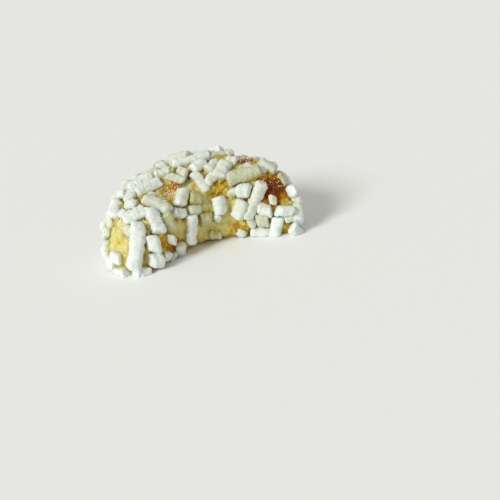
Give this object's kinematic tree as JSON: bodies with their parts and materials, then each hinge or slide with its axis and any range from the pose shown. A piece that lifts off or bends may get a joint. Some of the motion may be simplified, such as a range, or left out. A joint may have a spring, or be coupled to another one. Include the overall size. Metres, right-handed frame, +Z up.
{
  "type": "crescent cookie",
  "caption": "Crescent cookie: a fat bent roll of soft baked dough, one arm thinner than the other, coated in pale nut slivers and dusted with sugar, with a flat underside.",
  "frame": {"origin": "on the flat underside, in the middle of the cookie's length and depth", "axes": "+X along the cookie's length towards its thin arm, +Y to the outer side of the bend, +Z up"},
  "size_m": [0.0614, 0.0366, 0.025],
  "materials": {
    "cookie": "matt baked crumb with near-white nut slivers and powdered sugar"
  },
  "bodies": {
    "root": {"crescent_cookie": "cookie"}
  },
  "joints": []
}
